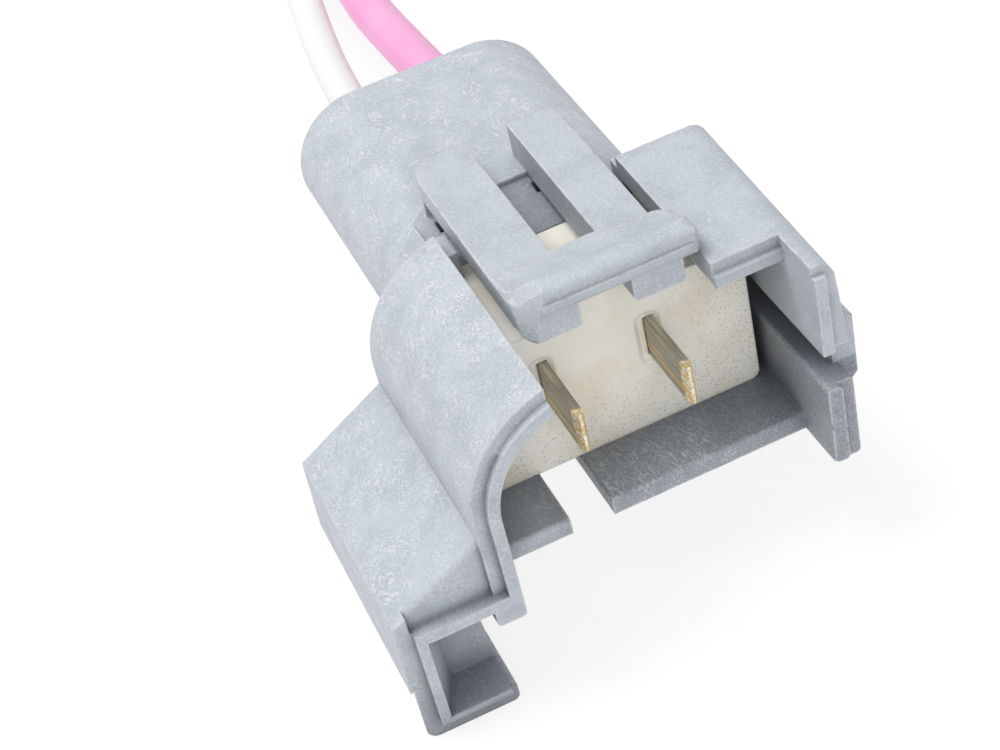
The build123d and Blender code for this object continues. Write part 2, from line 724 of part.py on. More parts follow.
# Terminal carrier: a block behind the hood's mouth with a tongue into the barrel,
# rounded on the left to follow the inside of the arch
ARCH_CENTRE = (HOOD_LEFT + ARCH_RADIUS, HOOD_TOP - ARCH_RADIUS)
CARRIER_ROUND = ARCH_RADIUS - WALL_FULL - CARRIER_SIDE_GAP
CARRIER_LEFT = ARCH_CENTRE[0] - CARRIER_ROUND
round_top = math.asin((CARRIER_TOP - ARCH_CENTRE[1]) / CARRIER_ROUND)
round_points = [
    (
        ARCH_CENTRE[0] - CARRIER_ROUND * math.cos(angle),
        ARCH_CENTRE[1] + CARRIER_ROUND * math.sin(angle),
    )
    for angle in (round_top, round_top / 2, 0)
]
with BuildPart() as terminal_carrier:
    with BuildSketch(across(CARRIER_DEPTH)):
        with BuildLine():
            Polyline(
                round_points[2],
                (CARRIER_LEFT, FLOOR_TOP + CARRIER_FOOT_CUT[1]),
                (CARRIER_LEFT + CARRIER_FOOT_CUT[0], FLOOR_TOP),
                (CARRIER_RIGHT, FLOOR_TOP),
                (CARRIER_RIGHT, CARRIER_TOP),
                round_points[0],
            )
            ThreePointArc(*round_points)
        make_face()
    extrude(amount=CARRIER_DEPTH)
    fillet(
        terminal_carrier.edges()
        .filter_by(Axis.Y)
        .filter_by_position(Axis.X, CARRIER_RIGHT - PICK, CARRIER_RIGHT + PICK),
        CARRIER_CORNER,
    )
    block(
        CARRIER_RIDGE,
        (0, CARRIER_RIDGE_DEPTH),
        (CARRIER_TOP - JOIN, CARRIER_RIDGE_TOP),
    )
    with BuildSketch(across(TONGUE_BACK)):
        with Locations((BLADE_SHIFT, 0)):
            RectangleRounded(
                BLADE_PITCH + 2 * TONGUE_SIDE, TONGUE_HEIGHT, CARRIER_CORNER
            )
    extrude(amount=TONGUE_BACK - CARRIER_DEPTH + JOIN)
    for blade_x in BLADES_X:
        block(
            (blade_x - BLADE_THICK / 2 - SLOT_GAP, blade_x + BLADE_THICK / 2 + SLOT_GAP),
            (-PAST, TERMINAL_BODY_FRONT),
            (-BLADE_HEIGHT / 2 - SLOT_GAP, BLADE_HEIGHT / 2 + SLOT_GAP),
            mode=Mode.SUBTRACT,
        )
        block(
            (
                blade_x - TERMINAL_BODY[0] / 2 - CAVITY_GAP,
                blade_x + TERMINAL_BODY[0] / 2 + CAVITY_GAP,
            ),
            (TERMINAL_BODY_FRONT - CAVITY_GAP, TONGUE_BACK + PAST),
            (
                -PINK_OD / 2 - CRIMP_GAP - CRIMP_WALL - CAVITY_GAP,
                TERMINAL_BODY[1] / 2 + CAVITY_GAP,
            ),
            mode=Mode.SUBTRACT,
        )
        with BuildSketch(across(0)):
            with Locations((blade_x + FUNNEL_SHIFT, 0)):
                RectangleRounded(
                    BLADE_THICK + 2 * (SLOT_GAP + FUNNEL_SIDE),
                    BLADE_HEIGHT + 2 * (SLOT_GAP + FUNNEL_SIDE),
                    FUNNEL_CORNER,
                )
        extrude(amount=-FUNNEL_DEPTH, taper=FUNNEL_TAPER, mode=Mode.SUBTRACT)
terminal_carrier.part.label = "terminal_carrier"


def terminal(blade_x, jacket_od):
    """One stamping: blade, boxed body, conductor crimp and jacket crimp."""
    jacket_inner = jacket_od / 2 + CRIMP_GAP
    base = -jacket_inner - CRIMP_WALL
    half_x = TERMINAL_BODY[0] / 2
    half_z = TERMINAL_BODY[1] / 2
    core_inner = CORE_OD / 2 + CRIMP_GAP
    with BuildPart() as stamping:
        block(
            (blade_x - BLADE_THICK / 2, blade_x + BLADE_THICK / 2),
            (-BLADE_REACH, TERMINAL_BODY_FRONT + JOIN),
            (-BLADE_HEIGHT / 2, BLADE_HEIGHT / 2),
        )
        chamfer(
            stamping.faces().sort_by(Axis.Y)[0].edges().filter_by(Axis.Z),
            BLADE_COIN,
            BLADE_BEVEL,
        )
        block(
            (blade_x - BLADE_THICK / 2 - PAST, blade_x - BLADE_THICK / 2 + SEAM_DEPTH),
            (-BLADE_REACH - PAST, 0),
            (SEAM_HEIGHT, SEAM_HEIGHT + SEAM_WIDTH),
            mode=Mode.SUBTRACT,
        )
        block(
            (blade_x - half_x, blade_x + half_x),
            (TERMINAL_BODY_FRONT, TERMINAL_BODY_BACK),
            (-half_z, half_z),
        )
        block(
            (blade_x - half_x + CRIMP_WALL, blade_x + half_x - CRIMP_WALL),
            (TERMINAL_BODY_FRONT + CRIMP_WALL, TERMINAL_BODY_BACK + PAST),
            (-half_z + CRIMP_WALL, half_z - CRIMP_WALL),
            mode=Mode.SUBTRACT,
        )
        block(
            (blade_x - half_x / 2, blade_x + half_x / 2),
            (TERMINAL_BODY_BACK - JOIN, JACKET_FRONT - CRIMP_WALL),
            (base, -half_z + CRIMP_WALL),
        )
        block(
            (blade_x - half_x / 2, blade_x + half_x / 2),
            (JACKET_FRONT - CRIMP_WALL, JACKET_CRIMP[0] + CRIMP_WALL),
            (base, -jacket_inner),
        )
        block(
            (blade_x - core_inner - CRIMP_WALL, blade_x + core_inner + CRIMP_WALL),
            CORE_CRIMP,
            (base, core_inner + CRIMP_WALL),
        )
        with BuildSketch(across(CORE_CRIMP[1] + PAST)):
            with Locations((blade_x, 0)):
                Circle(core_inner)
        extrude(amount=CORE_CRIMP[1] - CORE_CRIMP[0] + 2 * PAST, mode=Mode.SUBTRACT)
        with BuildSketch(across(JACKET_CRIMP[1])):
            with Locations((blade_x, 0)):
                Circle(jacket_inner + CRIMP_WALL)
                Circle(jacket_inner, mode=Mode.SUBTRACT)
        extrude(amount=JACKET_CRIMP[1] - JACKET_CRIMP[0])
    return stamping.part


def seal(blade_x, jacket_od):
    """Ribbed rubber seal between one lead and its bore."""
    with BuildPart() as plug:
        with BuildSketch(across(SEAL_BACK)):
            with Locations((blade_x, 0)):
                Circle(SEAL_CORE_RADIUS)
        extrude(amount=SEAL_BACK - SEAL_SEAT)
        rib_pitch = (SEAL_BACK - SEAL_SEAT - SEAL_RIB) / (SEAL_RIB_COUNT - 1)
        for i in range(SEAL_RIB_COUNT):
            with BuildSketch(across(SEAL_BACK - i * rib_pitch)):
                with Locations((blade_x, 0)):
                    Circle(SEAL_RIB_RADIUS)
            extrude(amount=SEAL_RIB)
        with BuildSketch(across(SEAL_BACK + PAST)):
            with Locations((blade_x, 0)):
                Circle(jacket_od / 2 + SEAL_LEAD_GAP)
        extrude(amount=SEAL_BACK - SEAL_SEAT + 2 * PAST, mode=Mode.SUBTRACT)
    return plug.part


def turn_radii(route):
    """Radius at each inner point of a route: TURN_SHARE of the shorter run over
    the tangent of half the turn there."""
    radii = []
    for before, point, after in zip(route, route[1:], route[2:]):
        run_in = Vector(*point) - Vector(*before)
        run_out = Vector(*after) - Vector(*point)
        half_turn = math.radians(run_in.get_angle(run_out)) / 2
        radii.append(TURN_SHARE * min(run_in.length, run_out.length) / math.tan(half_turn))
    return radii


def lead(route, jacket_od):
    """Insulated lead along its route, from the crimp to the start of its coil."""
    radii = turn_radii(route)
    print("lead radii", [round(radius, 1) for radius in radii])
    with BuildPart() as tube:
        with BuildLine() as path:
            FilletPolyline(*route, radius=radii)
        start = Vector(*route[1]) - Vector(*route[0])
        with BuildSketch(Plane(origin=route[0], z_dir=start.normalized())):
            Circle(jacket_od / 2)
        sweep()
    length = sum(edge.length for edge in path.edges())
    swept = math.pi * jacket_od**2 / 4 * length
    print("lead length", round(length, 1), "volume share", round(tube.part.volume / swept, 4))
    return tube.part


def coil_plane(angle):
    """Plane through the coil's axis, angle degrees clockwise from its entry:
    local x is the distance from the axis and local y is world Z."""
    turn = math.radians(angle)
    outward = Vector(-math.cos(turn), math.sin(turn), 0)
    return Plane(
        origin=(COIL_CENTRE[0], COIL_CENTRE[1], 0),
        x_dir=outward,
        z_dir=outward.cross(Vector(0, 0, 1)),
    )


def coil(radius, jacket_od, total_arc):
    """Outer shape of one lead's turns: a lower turn and the start of an upper one."""
    half = jacket_od / 2
    upper = COIL_BASE + LAYER_RISE
    spans = (
        (0, COIL_LOWER_ARC, COIL_BASE, COIL_BASE + jacket_od),
        (COIL_RISE_START, total_arc, upper, upper + jacket_od),
        (COIL_RISE_START, COIL_LOWER_ARC, COIL_BASE + half, upper + half),
        (FULL_TURN, total_arc, COIL_BASE + half, upper + half),
    )
    with BuildPart() as turns:
        for start, stop, low, high in spans:
            with BuildSketch(coil_plane(start)):
                with Locations((radius, (low + high) / 2)):
                    Rectangle(jacket_od + 2 * COIL_SIDE_GAP, high - low)
            revolve(
                axis=Axis((COIL_CENTRE[0], COIL_CENTRE[1], 0), (0, 0, -1)),
                revolution_arc=stop - start,
            )
    return turns.part


def core(blade_x, radius, jacket_od, total_arc):
    """Bare strands of one lead: the crimped end and the stripped far end."""
    height = COIL_BASE + LAYER_RISE + jacket_od / 2
    with BuildPart() as strands:
        with BuildSketch(across(JACKET_FRONT)):
            with Locations((blade_x, 0)):
                Circle(CORE_OD / 2)
        extrude(amount=JACKET_FRONT - CORE_CRIMP[0])
        with BuildSketch(coil_plane(total_arc)):
            with Locations((radius, height)):
                Circle(CORE_OD / 2)
        extrude(amount=STRIP_LENGTH)
    return strands.part


# Band around both coils
with BuildPart() as coil_band:
    band_inner = COIL_PINK_RADIUS - PINK_OD / 2 - COIL_SIDE_GAP - BAND_GAP
    band_outer = COIL_WHITE_RADIUS + WHITE_OD / 2 + COIL_SIDE_GAP + BAND_GAP
    band_top = COIL_BASE + LAYER_RISE + PINK_OD + BAND_GAP
    with BuildSketch(coil_plane(BAND_ANGLE)):
        with Locations(((band_inner + band_outer) / 2, (SURFACE + band_top + BAND_THICK) / 2)):
            Rectangle(
                band_outer - band_inner + 2 * BAND_THICK, band_top + BAND_THICK - SURFACE
            )
        with Locations(((band_inner + band_outer) / 2, (SURFACE + BAND_THICK + band_top) / 2)):
            Rectangle(
                band_outer - band_inner, band_top - SURFACE - BAND_THICK, mode=Mode.SUBTRACT
            )
    extrude(amount=BAND_WIDTH / 2, both=True)

pieces = {
    "housing": housing.part,
    "terminal_carrier": terminal_carrier.part,
    "terminal_left": terminal(BLADES_X[0], WHITE_OD),
    "terminal_right": terminal(BLADES_X[1], PINK_OD),
    "seal_left": seal(BLADES_X[0], WHITE_OD),
    "seal_right": seal(BLADES_X[1], PINK_OD),
    "lead_white": lead(WHITE_ROUTE, WHITE_OD),
    "lead_pink": lead(PINK_ROUTE, PINK_OD),
    "coil_white": coil(COIL_WHITE_RADIUS, WHITE_OD, COIL_WHITE_ARC),
    "coil_pink": coil(COIL_PINK_RADIUS, PINK_OD, COIL_PINK_ARC),
    "strands_white": core(BLADES_X[0], COIL_WHITE_RADIUS, WHITE_OD, COIL_WHITE_ARC),
    "strands_pink": core(BLADES_X[1], COIL_PINK_RADIUS, PINK_OD, COIL_PINK_ARC),
    "coil_band": coil_band.part,
}
for name, piece in pieces.items():
    piece.label = name
    export_step(piece, f"parts/{name}.step")
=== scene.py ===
"""Studio scene of a two-way plug with its leads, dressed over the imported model."""

import logging
import math
from dataclasses import dataclass, field
from enum import Enum
from functools import partial

import bpy
import numpy as np
from mathutils import Matrix


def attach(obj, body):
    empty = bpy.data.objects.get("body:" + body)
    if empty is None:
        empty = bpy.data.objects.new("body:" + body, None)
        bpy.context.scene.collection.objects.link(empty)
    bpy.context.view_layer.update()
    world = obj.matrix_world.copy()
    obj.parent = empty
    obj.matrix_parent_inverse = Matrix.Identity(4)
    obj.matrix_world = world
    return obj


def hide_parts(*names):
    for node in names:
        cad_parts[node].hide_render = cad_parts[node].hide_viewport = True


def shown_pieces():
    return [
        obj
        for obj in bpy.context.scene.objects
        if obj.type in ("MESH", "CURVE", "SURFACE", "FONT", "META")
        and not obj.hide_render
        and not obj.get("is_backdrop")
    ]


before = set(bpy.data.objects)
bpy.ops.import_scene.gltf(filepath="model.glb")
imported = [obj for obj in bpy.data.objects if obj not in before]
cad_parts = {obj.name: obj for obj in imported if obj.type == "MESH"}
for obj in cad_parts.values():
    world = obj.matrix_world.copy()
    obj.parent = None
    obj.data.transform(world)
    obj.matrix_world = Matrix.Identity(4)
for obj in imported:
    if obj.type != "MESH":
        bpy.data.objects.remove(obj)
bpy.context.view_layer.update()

MM = 0.001
ROOT = "root"

# The Mix node names its sockets once for each data type: these are its colours
MIX_UNDER = 6
MIX_OVER = 7
MIX_RESULT = 2
# Rays sent out by the nodes that look at the surface nearby
PROBES = 6

log = logging.getLogger("plug")

Socket = bpy.types.NodeSocket
Owner = bpy.types.Material | bpy.types.World
Axes = tuple[Socket, Socket, Socket]
Point = tuple[float, float, float]


# Colour and shader helpers


def linear(hex_colour: str) -> tuple[float, float, float, float]:
    """Turn an sRGB hex colour into linear values.

    Args:
        hex_colour: Colour as six hex digits.

    Returns:
        Linear red, green and blue with an alpha of 1.
    """
    srgb = np.array([int(hex_colour[i : i + 2], 16) for i in (0, 2, 4)]) / 255.0
    # The two pieces of the sRGB curve
    low = srgb / 12.92
    high = ((srgb + 0.055) / 1.055) ** 2.4
    red, green, blue = np.where(srgb <= 0.04045, low, high).tolist()
    return (red, green, blue, 1.0)


def add_node(
    owner: Owner,
    kind: str,
    inputs: dict[str | int, object] | None = None,
    **settings: object,
) -> bpy.types.Node:
    """Add one shader node with its settings and inputs.

    Args:
        owner: Material or world whose node tree takes the node.
        kind: Blender's name of the node type, without ShaderNode.
        inputs: What each input socket gets: the output of another node, an
            sRGB hex colour, or a plain value.
        **settings: Attributes of the node.

    Returns:
        The new node.
    """
    tree = owner.node_tree
    node = tree.nodes.new("ShaderNode" + kind)
    for name, value in settings.items():
        setattr(node, name, value)
    for key, value in (inputs or {}).items():
        if isinstance(value, Socket):
            tree.links.new(value, node.inputs[key])
        else:
            node.inputs[key].default_value = linear(value) if isinstance(value, str) else value
    return node


def blank_material(name: str) -> bpy.types.Material:
    """Make a material with an empty node tree.

    Args:
        name: Material name.

    Returns:
        The material.
    """
    material = bpy.data.materials.new(name)
    material.use_nodes = True
    material.node_tree.nodes.clear()
    return material


def position_mm(material: bpy.types.Material) -> tuple[Socket, Axes]:
    """Give the object coordinates in millimetres.

    Args:
        material: Material that takes the nodes.

    Returns:
        The coordinates as a vector, and its x, y and z.
    """
    add = partial(add_node, material)
    place = add("TexCoord").outputs["Object"]
    scaled = add("VectorMath", {0: place, 1: (1 / MM, 1 / MM, 1 / MM)}, operation="MULTIPLY")
    where = scaled.outputs["Vector"]
    x, y, z = add("SeparateXYZ", {"Vector": where}).outputs
    return where, (x, y, z)


@dataclass(frozen=True)
class Ramp:
    """Two levels of a value and what it turns into there and beyond."""

    low: float
    high: float
    at_low: float = 0.0
    at_high: float = 1.0

    def of(self, value: Socket) -> dict[str | int, object]:
        """Give the inputs of a Map Range node that ramps the value.

        Args:
            value: Value to ramp.

        Returns:
            The inputs by name.
        """
        return {
            "Value": value,
            "From Min": self.low,
            "From Max": self.high,
            "To Min": self.at_low,
            "To Max": self.at_high,
        }


# Setting of a Map Range node whose ramp starts and ends gently
SOFT = {"interpolation_type": "SMOOTHSTEP"}


class Finish(Enum):
    """Finishes of the plug's pieces, each named for its real material."""

    HOUSING = "glass_filled_polyester_moulded"
    CARRIER = "natural_polyamide_moulded"
    TERMINAL = "tin_plated_brass_stamped"
    SEAL = "silicone_rubber_moulded"
    WHITE_JACKET = "white_polyethylene_extruded"
    PINK_JACKET = "pink_polyethylene_extruded"
    STRANDS = "bare_copper_drawn"
    BAND = "black_polyamide_band"


@dataclass(frozen=True)
class GlassFilledPlastic:
    """Glass-filled polyester as moulded: fibres lie just under the skin.

    The eye sees short pale strokes that follow the flow of the melt, fine
    stipple where the mould was textured, and thin pale flash along the edges,
    drawn together with painted edge highlights.
    Glass fibres are about 0.01 mm thick, too fine to show, so each stroke is
    drawn as wide as a bundle of them; the stipple is coarser than a real
    mould's for the same reason.
    """

    name: str = Finish.HOUSING.value
    skin: str = "bfc6cf"
    deep: str = "b5bcc6"
    fibre: str = "e9edf1"
    # Painted shade on the inner faces
    inner_shade: str = "474b52"
    # Painted shade on the floor and the lower right wall in the hood
    hood_shade: str = "7b8189"
    # Pale flash, which also stands for painted highlight on the outer edges
    flash_and_highlight: str = "f1f2f3"
    # Painted shade in the corners and creases
    shade: str = "3b3f46"
    clouds_mm: float = 2.6
    clouds: Ramp = Ramp(0.35, 0.6)
    gloss: Ramp = Ramp(0.0, 1.0, 0.42, 0.58)

    # Strokes: across and along, the patches that turn them, where they thin out
    stroke_mm: tuple[float, float] = (0.075, 0.5)
    stroke_scale: float = 0.6
    stroke_roughness: float = 0.4
    stroke: Ramp = Ramp(0.48, 0.78)
    patch_mm: float = 1.7
    patch_axis: Point = (0.25, 0.3, 0.92)
    swirl_mm: float = 2.4
    swirl_reach_mm: float = 1.3
    layers_mm: tuple[Point, Point] = ((0.0, 0.0, 0.0), (17.3, 5.9, 31.7))
    sparse_mm: float = 1.6
    sparse: Ramp = Ramp(0.35, 0.62, 0.25, 1.1)
    pale_share: float = 0.72

    # Stipple, and the latch and the right plate, where the mould was textured
    stipple_mm: float = 0.14
    stipple: Ramp = Ramp(0.46, 0.74, 0.0, 0.55)
    latch_z: Ramp = Ramp(6.85, 7.0)
    plate_x: Ramp = Ramp(5.4, 5.6)
    plate_y: Ramp = Ramp(8.7, 8.9, 1.0, 0.0)
    textured: Ramp = Ramp(0.0, 1.0, 1.0, 0.4)

    # Floor, where strokes lie in line, and lower right wall: painted shade in the hood
    floor_z: Ramp = Ramp(-6.3, -6.1, 0.93, 0.0)
    wall_x: Ramp = Ramp(9.0, 9.4)
    wall_z: Ramp = Ramp(-2.2, -1.9, 1.0, 0.0)
    hood_x: Ramp = Ramp(-7.5, -5.0, 0.0, 0.7)

    # Flash with painted highlight on the outer edges, broken by patches, and painted shade in the
    # corners
    edge_mm: float = 0.24
    edge: Ramp = Ramp(0.9, 0.99, 1.0, 0.0)
    near_mm: float = 0.9
    outer: Ramp = Ramp(0.45, 0.8)
    broken_mm: float = 0.7
    broken: Ramp = Ramp(0.25, 0.55, 0.0, 0.9)
    corner_shade: Ramp = Ramp(0.1, 0.75, 0.35, 0.0)

    # Painted shade on the inner faces, lighter round the latch and beside the neck
    inside_mm: float = 7.0
    inside_shade: Ramp = Ramp(0.3, 0.95, 0.73, 0.0)
    top_z: Ramp = Ramp(4.5, 4.8)
    neck_x: Ramp = Ramp(-3.5, -2.0, 1.0, 0.0)
    neck_z: Ramp = Ramp(3.6, 3.8)
    lighter: Ramp = Ramp(0.0, 1.0, 1.0, 0.4)

    bump: float = 0.3
    bump_mm: float = 0.015

    def strokes(
        self, material: bpy.types.Material, where: Socket, offset: Point, calm: Socket
    ) -> Socket:
        """Draw one layer of fibre strokes.

        Each Voronoi patch turns the coordinates by its own angle; a noise
        that is narrow across and long along the turned axis is then cut to
        its highest parts.

        Args:
            material: Material that takes the nodes.
            where: Coordinates in millimetres, already swirled.
            offset: Shift that sets this layer apart from the others.
            calm: Share by which all strokes line up with the barrel.

        Returns:
            Share of fibre from 0 to 1.
        """
        add = partial(add_node, material)
        shifted = add("VectorMath", {0: where, 1: offset}, operation="ADD").outputs["Vector"]
        patches = add("TexVoronoi", {"Vector": shifted, "Scale": 1 / self.patch_mm})
        split = add("SeparateColor", {"Color": patches.outputs["Color"]})
        free = add("Math", {0: calm, 1: 1.0}, operation="SUBTRACT").outputs[0]
        whole = add("Math", {0: split.outputs["Red"], 1: math.tau}, operation="MULTIPLY")
        angle = add("Math", {0: whole.outputs[0], 1: free}, operation="MULTIPLY").outputs[0]
        turned = add("VectorRotate", {"Vector": shifted, "Angle": angle, "Axis": self.patch_axis})
        across, along = self.stroke_mm
        stretched = add(
            "VectorMath",
            {0: turned.outputs["Vector"], 1: (1 / across, 1 / along, 1 / across)},
            operation="MULTIPLY",
        )
        grain = add(
            "TexNoise",
            {
                "Vector": stretched.outputs["Vector"],
                "Scale": self.stroke_scale,
                "Detail": 1.0,
                "Roughness": self.stroke_roughness,
            },
        )
        return add("MapRange", self.stroke.of(grain.outputs[0]), **SOFT).outputs["Result"]

    def fibres(
        self,
        material: bpy.types.Material,
        where: Socket,
        swirled: Socket,
        axes: Axes,
        calm: Socket,
    ) -> Socket:
        """Draw the strokes, and the stipple that takes over where it is textured.

        Args:
            material: Material that takes the nodes.
            where: Coordinates in millimetres.
            swirled: The same coordinates, pushed about by a slow noise.
            axes: X, y and z of the coordinates.
            calm: Share by which all strokes line up with the barrel.

        Returns:
            Share of pale fibre from 0 to 1.
        """
        add = partial(add_node, material)
        x, y, z = axes
        first, second = (self.strokes(material, swirled, shift, calm) for shift in self.layers_mm)
        pale = add("Math", {0: first, 1: second}, operation="MAXIMUM").outputs[0]
        slow = add("TexNoise", {"Vector": where, "Scale": 1 / self.sparse_mm, "Detail": 1.0})
        dense = add("MapRange", self.sparse.of(slow.outputs[0])).outputs["Result"]
        pale = add("Math", {0: pale, 1: dense}, operation="MULTIPLY").outputs[0]

        on_latch = add("MapRange", self.latch_z.of(z), **SOFT).outputs["Result"]
        beyond_x = add("MapRange", self.plate_x.of(x), **SOFT).outputs["Result"]
        before_y = add("MapRange", self.plate_y.of(y), **SOFT).outputs["Result"]
        on_plate = add("Math", {0: beyond_x, 1: before_y}, operation="MULTIPLY").outputs[0]
        textured = add("Math", {0: on_latch, 1: on_plate}, operation="MAXIMUM").outputs[0]
        weak = add("MapRange", self.textured.of(textured)).outputs["Result"]
        pale = add("Math", {0: pale, 1: weak}, operation="MULTIPLY").outputs[0]

        fine = add("TexNoise", {"Vector": where, "Scale": 1 / self.stipple_mm, "Detail": 1.0})
        stipple = add("MapRange", self.stipple.of(fine.outputs[0]), **SOFT).outputs["Result"]
        pale = add("Math", {0: pale, 1: stipple}, operation="MAXIMUM").outputs[0]
        return add("Math", {0: pale, 1: self.pale_share}, operation="MULTIPLY").outputs[0]

    def base(
        self, material: bpy.types.Material, tone: Socket, axes: Axes, calm: Socket
    ) -> Socket:
        """Colour the skin in soft clouds, with painted shade on the floor and lower right wall.

        Args:
            material: Material that takes the nodes.
            tone: Slow noise of the clouds.
            axes: X, y and z in millimetres.
            calm: Share of the floor.

        Returns:
            The colour under the fibres.
        """
        add = partial(add_node, material)
        x, _, z = axes
        clouds = add("MapRange", self.clouds.of(tone), **SOFT).outputs["Result"]
        colours = {0: clouds, MIX_UNDER: self.deep, MIX_OVER: self.skin}
        skin = add("Mix", colours, data_type="RGBA").outputs[MIX_RESULT]
        # Painted shade on the floor and the lower right wall in the hood
        beyond_x = add("MapRange", self.wall_x.of(x), **SOFT).outputs["Result"]
        below_z = add("MapRange", self.wall_z.of(z), **SOFT).outputs["Result"]
        wall = add("Math", {0: beyond_x, 1: below_z}, operation="MULTIPLY").outputs[0]
        in_hood = add("MapRange", self.hood_x.of(x), **SOFT).outputs["Result"]
        hood_shade = add("Math", {0: calm, 1: wall}, operation="MAXIMUM").outputs[0]
        hood_shade = add("Math", {0: hood_shade, 1: in_hood}, operation="MULTIPLY").outputs[0]
        colours = {0: hood_shade, MIX_UNDER: skin, MIX_OVER: self.hood_shade}
        return add("Mix", colours, data_type="RGBA").outputs[MIX_RESULT]

    def edge_flash_and_highlight(
        self, material: bpy.types.Material, where: Socket, rounded: Socket, near: Socket
    ) -> Socket:
        """Find where flash and painted highlight go: where the rounded normal leaves the plain
        one.

        Args:
            material: Material that takes the nodes.
            where: Coordinates in millimetres.
            rounded: Normal as if the edges were rounded.
            near: Share of open air close by, small in the corners.

        Returns:
            Share of flash and painted highlight from 0 to 1, broken by patches.
        """
        add = partial(add_node, material)
        plain = add("NewGeometry").outputs["Normal"]
        meet = add("VectorMath", {0: rounded, 1: plain}, operation="DOT_PRODUCT")
        at_edge = add("MapRange", self.edge.of(meet.outputs["Value"]), **SOFT).outputs["Result"]
        outer = add("MapRange", self.outer.of(near), **SOFT).outputs["Result"]
        patchy = add("TexNoise", {"Vector": where, "Scale": 1 / self.broken_mm, "Detail": 2.0})
        broken = add("MapRange", self.broken.of(patchy.outputs[0]), **SOFT).outputs["Result"]
        flash_and_highlight = add("Math", {0: at_edge, 1: outer}, operation="MULTIPLY").outputs[0]
        return add("Math", {0: flash_and_highlight, 1: broken}, operation="MULTIPLY").outputs[0]

    def inner_shade_share(self, material: bpy.types.Material, axes: Axes) -> Socket:
        """Find where shade is painted on the inner faces, by how little open air is around them.

        Args:
            material: Material that takes the nodes.
            axes: X, y and z in millimetres.

        Returns:
            Share of the painted inner shade from 0 to 1.
        """
        add = partial(add_node, material)
        x, _, z = axes
        air = add("AmbientOcclusion", {"Distance": self.inside_mm * MM}, samples=PROBES)
        inside_shade = add("MapRange", self.inside_shade.of(air.outputs["AO"]), **SOFT).outputs["Result"]
        above = add("MapRange", self.top_z.of(z), **SOFT).outputs["Result"]
        left = add("MapRange", self.neck_x.of(x), **SOFT).outputs["Result"]
        on_neck = add("MapRange", self.neck_z.of(z), **SOFT).outputs["Result"]
        beside = add("Math", {0: left, 1: on_neck}, operation="MULTIPLY").outputs[0]
        in_open = add("Math", {0: above, 1: beside}, operation="MAXIMUM").outputs[0]
        lighter = add("MapRange", self.lighter.of(in_open)).outputs["Result"]
        return add("Math", {0: inside_shade, 1: lighter}, operation="MULTIPLY").outputs[0]

    def build(self) -> bpy.types.Material:
        """Make the material.

        Returns:
            The material.
        """
        material = blank_material(self.name)
        add = partial(add_node, material)
        where, axes = position_mm(material)
        drift = add("TexNoise", {"Vector": where, "Scale": 1 / self.swirl_mm, "Detail": 1.0})
        reach = self.swirl_reach_mm
        swirled = add(
            "VectorMath",
            {0: drift.outputs["Color"], 1: (reach, reach, reach), 2: where},
            operation="MULTIPLY_ADD",
        ).outputs["Vector"]
        slow = {"Vector": swirled, "Scale": 1 / self.clouds_mm, "Detail": 3.0}
        tone = add("TexNoise", slow).outputs[0]
        calm = add("MapRange", self.floor_z.of(axes[2]), **SOFT).outputs["Result"]
        rounded = add("Bevel", {"Radius": self.edge_mm * MM}, samples=PROBES).outputs["Normal"]
        air = add("AmbientOcclusion", {"Distance": self.near_mm * MM}, samples=PROBES)
        near = air.outputs["AO"]

        pale = self.fibres(material, where, swirled, axes, calm)
        colour = self.base(material, tone, axes, calm)
        layers = (
            (pale, self.fibre),
            # Flash with painted highlight on the outer edges
            (self.edge_flash_and_highlight(material, where, rounded, near), self.flash_and_highlight),
            # Painted shade in the corners
            (add("MapRange", self.corner_shade.of(near), **SOFT).outputs["Result"], self.shade),
            # Painted shade on the inner faces
            (self.inner_shade_share(material, axes), self.inner_shade),
        )
        for share, over in layers:
            colours = {0: share, MIX_UNDER: colour, MIX_OVER: over}
            colour = add("Mix", colours, data_type="RGBA").outputs[MIX_RESULT]
        relief = add(
            "Bump",
            {
                "Strength": self.bump,
                "Distance": self.bump_mm * MM,
                "Height": pale,
                "Normal": rounded,
            },
        )
        shader = add(
            "BsdfPrincipled",
            {
                "Base Color": colour,
                "Roughness": add("MapRange", self.gloss.of(tone)).outputs["Result"],
                "Normal": relief.outputs["Normal"],
            },
        )
        add("OutputMaterial", {"Surface": shader.outputs["BSDF"]})
        return material


